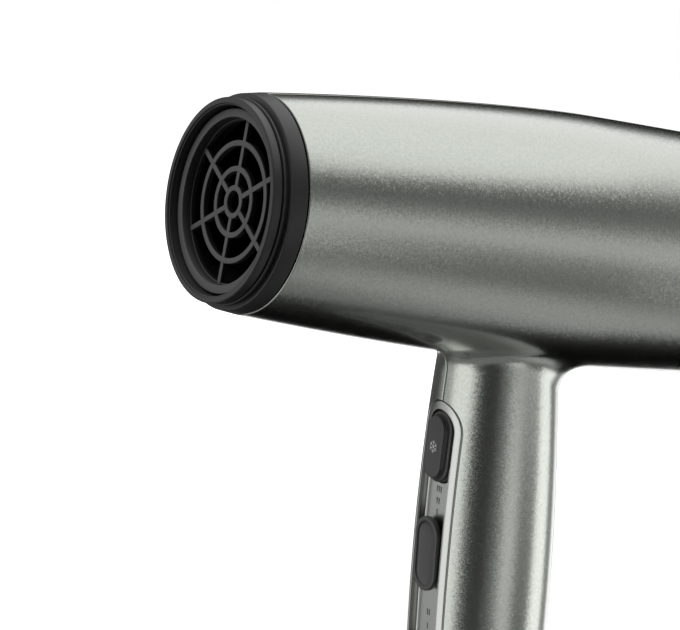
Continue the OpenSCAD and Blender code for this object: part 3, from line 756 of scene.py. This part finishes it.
grille = [barrel_hoop(r, 0.82, GRILLE_X0, GRILLE_X1, 0.18) for r in (4.1, 9.7, 17.2)]
grille += [barrel_hoop(GUIDE_R - 0.3, 0.28, GRILLE_X0 + 0.3, GRILLE_X1, 0.1)]
for k in range(6):
    grille += [spoke(k * pi / 3, 4.0, GUIDE_R - 0.1, 0.78, GRILLE_X0 + 0.1, GRILLE_X1 - 0.2, 0.15)]
solid("outlet_grille_bars", grille, "housing", GRILLE, ["outlet_grille"], 50)


# ---- Air intake ----

COVER_R = high("rear_cover")[1]
COVER_X1 = high("rear_cover")[0]
SPIGOT_R = float(barrel_at(SHELL_X1)) - WALL - 0.35
cover_outline = rounded([
    (SPIGOT_R - 1.5, 183.6, 0.3), (SPIGOT_R, 183.6, 0.3),
    (SPIGOT_R, SHELL_X1 + GAP, 0.05), (COVER_R, SHELL_X1 + GAP, 0.3),
    (COVER_R - 0.1, COVER_X1 - 12, 4), (COVER_R - 2.6, COVER_X1 - 3.2, 5), (COVER_R - 9, COVER_X1, 0.4),
    (COVER_R - 9, COVER_X1 - 2, 0.1), (COVER_R - 5, COVER_X1 - 4.4, 2.5), (COVER_R - 2.3, COVER_X1 - 12, 3),
    (COVER_R - 2.3, SHELL_X1 + 3, 0.4), (SPIGOT_R - 1.5, SHELL_X1 + 2, 0.3)], 8)
rim = [turned(cover_outline, on_barrel, 192)]
solid("intake_cover_rim", rim, "intake_cover", BLACK, ["rear_cover"], 50)

DISC_R = COVER_R - 9.04
hoops = [barrel_hoop(r, 0.7, COVER_X1 - 2, COVER_X1) for r in (12.5, 16.5, 20.5, 24.5)]
# Turned back to front, so that their rounded edges face out.
hoops = [np.stack([h[..., 0] * -1 + 2 * COVER_X1 - 2, h[..., 1], h[..., 2]], -1) for h in hoops]
hub = rounded([
    (0, COVER_X1 - 2, 0.0), (9, COVER_X1 - 2, 0.1), (9, COVER_X1, 0.5),
    (6.5, COVER_X1, 0.6), (5.5, COVER_X1 - 0.5, 0.6), (0, COVER_X1 - 0.5, 0.0)], 4)
outer = rounded([
    (DISC_R - 1.6, COVER_X1 - 2, 0.1), (DISC_R, COVER_X1 - 2, 0.1),
    (DISC_R, COVER_X1, 0.25), (DISC_R - 1.6, COVER_X1, 0.4)], 4)
hoops += [turned(hub[:-1], on_barrel, 96), turned(outer, on_barrel, 160)]
for k in range(12):
    hoops += [spoke(k * pi / 6, 8.6, DISC_R - 1, 0.7, COVER_X1 - 1.8, COVER_X1 - 0.15, 0.15)]
solid("intake_grille_disc", hoops, "intake_cover", BLACK, ["intake_grille"], 50)


def woven_mesh():
    """Woven filter wire: two crossed sets of round wires, each a sine wave that passes over and under
    the other set. The pitch of 1.7 mm is coarser than a real filter's, to stay within the mesh budget."""
    radius, pitch, thick = high("filter_mesh")[1] - 0.3, 1.7, 0.16
    x0 = (low("filter_mesh")[0] + high("filter_mesh")[0]) / 2
    lines = np.arange(-radius + 1, radius - 0.5, pitch)
    half = np.sqrt(radius**2 - lines**2)
    t = np.linspace(-1, 1, 110)[None, :, None] * half[:, None, None]
    a = np.linspace(0, 2 * pi, 7)[None, None]
    wave = 0.13 * np.cos(pi * (t - lines[0]) / pitch)
    sign = (-1.0) ** np.arange(len(lines))[:, None, None]
    along, place = t + 0 * a, lines[:, None, None] + thick * np.cos(a)
    first = np.stack([x0 + sign * wave + thick * np.sin(a), along, place + 0 * t], -1)
    second = np.stack([x0 - sign * wave + thick * np.sin(a), place + 0 * t, along], -1)
    section = [
        (radius - 0.6, x0 - 0.3, 0.1), (radius, x0 - 0.3, 0.1),
        (radius, x0 + 0.3, 0.1), (radius - 0.6, x0 + 0.3, 0.1)]
    hoop = turned(rounded(section, 2), on_barrel, 128)
    wires = []
    for w in (*first, *second):
        ends = [np.repeat(w[i, :-1].mean(0)[None], 7, 0)[None] for i in (0, -1)]
        wires.append(np.concatenate([ends[0], w, ends[1]]))
    patches = [hoop, *wires]
    solid("woven_filter_wire", patches, "intake_cover", STEEL, ["filter_mesh"])


woven_mesh()


# ---- Handle end ----

END_R = float(grip_at(HANDLE_LEN))
cap_outline = rounded([
    (7, 170, 0.05), (7, 168, 0.05), (END_R - WALL - 0.1, 168, 0.3),
    (END_R - WALL - 0.1, HANDLE_LEN + 0.25, 0.05), (END_R - 0.1, HANDLE_LEN + 0.25, 0.3),
    (END_R - 0.4, HANDLE_LEN + 3.4, 2), (END_R - 3.4, HANDLE_LEN + 4.7, 1.5),
    (7, HANDLE_LEN + 5, 0.3), (7, HANDLE_LEN + 3, 0.05),
    (END_R - 5, HANDLE_LEN + 2.6, 0.3), (END_R - 4.6, 170, 0.3)], 6)
cap = [turned(cap_outline, on_handle, 160)]
solid("handle_end_moulding", cap, "housing", BLACK, ["handle_end_cap"], 50)

BORE = mount["cord_bore"]["dims"]["r_mm"]
inlet = [(BORE, 160, 0.2), (8.4, 160, 0.3), (8.4, 167.9, 0.3), (6.9, 167.9, 0.05)]
inlet += [(6.9, HANDLE_LEN + 5.4, 0.2)]
ribs = []
for k in range(3):
    top = HANDLE_LEN + 6.0 + 2.5 * k
    ribs += [(6.1, top, 0.15), (6.1, top + 0.7, 0.15)]
    ribs += [(6.85 - 0.12 * k, top + 0.8, 0.25), (6.8 - 0.12 * k, top + 1.7, 0.25)]
inlet += ribs + [(6.1, HANDLE_LEN + 13.6, 0.3), (5.8, HANDLE_LEN + 14, 0.3), (BORE, HANDLE_LEN + 14, 0.3)]
bush = [turned(rounded(inlet, 4), on_handle, 96)]
solid("cord_entry_bush", bush, "housing", RUBBER, ["cable_inlet"], 50)


def hanging_eye():
    """The hanging eye: a rounded-rectangle section turned round the hole, and a web up into the cap."""
    hole = mount["hang_hole"]
    hole_at = np.array(hole["pos_m"]) / MM
    eye_s, eye_out = float((HANDLE_O - hole_at) @ UP), float((hole_at - HANDLE_O) @ FRONT)
    r = hole["dims"]["r_mm"]
    section = rounded([(r, -2, 0.8), (r + 2.5, -2, 0.8), (r + 2.5, 2, 0.8), (r, 2, 0.8)], 5)
    t = np.linspace(0, 2 * pi, 73)[:, None]
    reach, across = section[None, :, 0], section[None, :, 1]
    ring = on_handle(eye_s + reach * np.cos(t), eye_out + reach * np.sin(t), across + 0 * t)
    web = rounded([(-5.2, -1.98, 0.7), (5.2, -1.98, 0.7), (5.2, 1.98, 0.7), (-5.2, 1.98, 0.7)], 4)
    path = on_handle(np.array([eye_s - 6.0, eye_s - 4.3]), np.full(2, eye_out), np.zeros(2))
    patches = [ring, swept(web, path, np.tile(FRONT, (2, 1)), np.tile(ACROSS, (2, 1)))]
    solid("hanging_eye_ring", patches, "housing", BLACK, ["hang_loop"], 50)


hanging_eye()


def plug_caps():
    """Screw covers: discs that follow the grip's round side, a hair proud, with rounded rims."""
    patches = []
    section = [(0, 0.16), (1.5, 0.16), (2.9, 0.15), (3.1, 0.1), (3.22, 0)]
    section += [(3.26, -0.15), (3.26, -1.2), (0, -1.2)]
    rho, h = np.array(section).T
    for s0, back in ((47.0, 9.0), (167.0, 13.0)):
        a = np.linspace(0, 2 * pi, 65)[:, None]
        s, b = s0 + rho * np.cos(a), back + rho * np.sin(a)
        y = np.sqrt((grip_at(s) + h) ** 2 - b**2)
        patches.append(on_handle(s, -b, y))
    solid("screw_cover_discs", patches, "housing", LACQUER, ["screw_plugs"], 40)


plug_caps()


# ---- Studio ----

# Which way the camera looks from, and the place that it and the lamps face, in metres.
AZ = radians(55.333)
AIM = (0.0497, 0.0, -0.0305)
BASE_GLOW = 0.32
DOME_R, CYCLORAMA_R, FLOOR_REACH = 3.0, 8.0, 7.9
# The dome's lights and flags, in degrees: turn, half width, soft edge, then lift, half height, soft
# edge, and last the brightness. Later rows cover earlier ones.
LIGHTS = [
    (128, 64, 30, 75, 34, 14, 1.62),
    (158, 30, 26, 44, 14, 12, 1.5),
    (70, 22, 20, 30, 7, 12, 0.19),
    (66, 22, 20, 4, 9, 14, 0.86),
    (66, 22, 20, -24, 7, 12, 0.24),
    (92, 26, 22, -44, 10, 14, 0.64),
    (156, 40, 20, -46, 22, 10, 0.0),
    (172, 26, 16, -19, 3, 5, 1.6),
    (176, 36, 20, 8, 18, 14, 0.0),
    (-64, 26, 24, -26, 28, 20, 1.7),
    (-104, 14, 12, -8, 34, 20, 0.7),
    (-150, 26, 16, -8, 44, 20, 0.1),
    (-8, 21, 24, -4, 38, 20, 0.07),
    (43, 13, 20, -16, 12, 14, 1.15),
    (105, 15, 10, -8, 14, 12, 2.1),
    (132, 4, 6, -8, 12, 12, 0.3),
    (150, 10, 8, -12, 8, 10, 1.4),
]


def card(name, centre, facing, width, height, power):
    """A soft lamp of that size, facing a point. Reflections show the dome instead of it."""
    lamp = bpy.data.lights.new(name, "AREA")
    lamp.shape, lamp.size, lamp.size_y, lamp.energy = "RECTANGLE", width, height, power
    o = bpy.data.objects.new(name, lamp)
    o.visible_camera = o.visible_glossy = False
    turn = (Vector(facing) - Vector(centre)).to_track_quat("-Z", "Y")
    o.location, o.rotation_mode, o.rotation_quaternion = centre, "QUATERNION", turn
    bpy.context.scene.collection.objects.link(o)


def glow_light(name):
    """A light as strong as the mesh's own glow attribute says, left out of the lamps' sampling."""
    m = bpy.data.materials.new(name)
    m.use_nodes = True
    tree = m.node_tree
    level = add(tree, "Attribute", attribute_name="glow").outputs["Fac"]
    light = add(tree, "Emission", {"Strength": level})
    tree.links.new(light.outputs["Emission"], tree.nodes["Material Output"].inputs["Surface"])
    m.cycles.emission_sampling = "NONE"
    return m


def stage_sheet(name, points, glow, camera, material):
    """A sheet of the studio with a glow at each point, seen either by the camera or in reflections."""
    n = np.arange(glow.size).reshape(glow.shape)
    faces = np.stack([n[:-1, :-1], n[1:, :-1], n[1:, 1:], n[:-1, 1:]], -1).reshape(-1, 4)
    mesh = bpy.data.meshes.new(name)
    mesh.from_pydata(points.reshape(-1, 3).tolist(), [], faces.tolist())
    mesh.attributes.new("glow", "FLOAT", "POINT").data.foreach_set("value", glow.ravel().astype(np.float32))
    mesh.materials.append(material)
    o = bpy.data.objects.new(name, mesh)
    o.visible_shadow = o.visible_diffuse = False
    o.visible_camera, o.visible_glossy = camera, not camera
    bpy.context.scene.collection.objects.link(o)


def paper_floor():
    """Seamless white paper under the part: it takes soft shadows near by and brightens with distance,
    so that it runs into the cyclorama without a horizon."""
    rings = np.linspace(0, 1, 49) ** 2 * FLOOR_REACH
    turn, reach = np.meshgrid(np.linspace(0, 2 * pi, 65), rings, indexing="ij")
    z = np.full(turn.shape, cad_box[0].z - 0.0005)
    points = np.stack([AIM[0] + reach * np.cos(turn), reach * np.sin(turn), z], -1)
    glow = np.clip((reach - 0.2) / 0.8, 0, 1)
    m, tree, shader, place = finish("white_seamless_paper", Roughness=0.9)
    fibre = noise(tree, place, 4, 3)
    tree.links.new(tint(tree, fibre, "F6F6F6", "FAFAFA"), shader.inputs["Base Color"])
    level = add(tree, "Attribute", attribute_name="glow").outputs["Fac"]
    tree.links.new(level, shader.inputs["Emission Strength"])
    shader.inputs["Emission Color"].default_value = (1, 1, 1, 1)
    m.cycles.emission_sampling = "NONE"
    stage_sheet("paper_floor", points, glow, True, m)


def backdrop():
    """A white cyclorama all round, bright to the camera alone, so that the air stays dim."""
    turn, lift = np.meshgrid(np.linspace(-pi, pi, 49), np.linspace(-pi / 2, pi / 2, 25), indexing="ij")
    p = np.stack([np.cos(turn) * np.cos(lift), np.sin(turn) * np.cos(lift), np.sin(lift)], -1)
    glow = np.full(turn.shape, 1.0)
    stage_sheet("white_cyclorama", p * CYCLORAMA_R, glow, True, glow_light("white_cyclorama_light"))


def toward(azimuth, elevation, distance):
    """A place seen from the object, azimuth from +X towards +Y."""
    a, e = radians(azimuth), radians(elevation)
    return Vector(AIM) + distance * Vector((cos(a) * cos(e), sin(a) * cos(e), sin(e)))


card("key_softbox", toward(158, 30, 1.3), AIM, 0.8, 0.8, 18)
card("top_softbox", toward(-165, 68, 1.5), AIM, 1.2, 1.2, 11)
card("floor_light", toward(60, 80, 1.7), AIM, 1.6, 1.6, 14)


def soft_box(value, middle, half, soft):
    """1 inside a range, falling smoothly to 0 over its soft edge."""
    t = np.clip((half + soft / 2 - np.abs(value - middle)) / soft, 0, 1)
    return t * t * (3 - 2 * t)


def reflection_dome():
    """What the studio shows in the lacquer: a dome of soft lights and dark flags, seen only in
    reflections. Turn is measured from the camera's side to the right, lift is above the horizon."""
    turn, lift = np.meshgrid(np.linspace(-180, 180, 241), np.linspace(-90, 90, 121), indexing="ij")
    glow = np.full(turn.shape, BASE_GLOW)
    for at, half_turn, soft_turn, height, half_lift, soft_lift, level in LIGHTS:
        off = (turn - at + 180) % 360 - 180
        w = soft_box(off, 0, half_turn, soft_turn) * soft_box(lift, height, half_lift, soft_lift)
        glow = glow * (1 - w) + level * w
    a, e = np.radians(turn - 180 + np.degrees(AZ)), np.radians(lift)
    p = np.stack([np.cos(a) * np.cos(e), np.sin(a) * np.cos(e), np.sin(e)], -1)
    stage_sheet("reflection_dome", p * DOME_R, glow, False, glow_light("reflection_dome_light"))


reflection_dome()
paper_floor()
backdrop()

world = bpy.data.worlds.new("studio_air")
world.use_nodes = True
world.node_tree.nodes["Background"].inputs["Color"].default_value = (1, 1, 1, 1)
world.node_tree.nodes["Background"].inputs["Strength"].default_value = 0.07
bpy.context.scene.world = world
bpy.context.scene.view_settings.view_transform = "Standard"

# The camera: a long lens from the near side and the outlet's end, rolled a little.
EL, ROLL, DISTANCE, LENS = radians(8.472), radians(10.74), 0.748, 131.2
back = Vector((-cos(AZ) * cos(EL), -sin(AZ) * cos(EL), sin(EL)))
right = (-back).cross(Vector((0, 0, 1))).normalized()
up = right.cross(-back)
image_right = right * cos(ROLL) + up * sin(ROLL)
image_up = -right * sin(ROLL) + up * cos(ROLL)
turn = Matrix((image_right, image_up, back)).transposed()
camera = bpy.data.objects.new("camera", bpy.data.cameras.new("camera"))
camera.data.lens, camera.data.sensor_width = LENS, 36
camera.data.clip_start, camera.data.clip_end = 0.05, 20
camera.matrix_world = Matrix.Translation(Vector(AIM) + back * DISTANCE) @ turn.to_4x4()
bpy.context.scene.collection.objects.link(camera)
bpy.context.scene.camera = camera
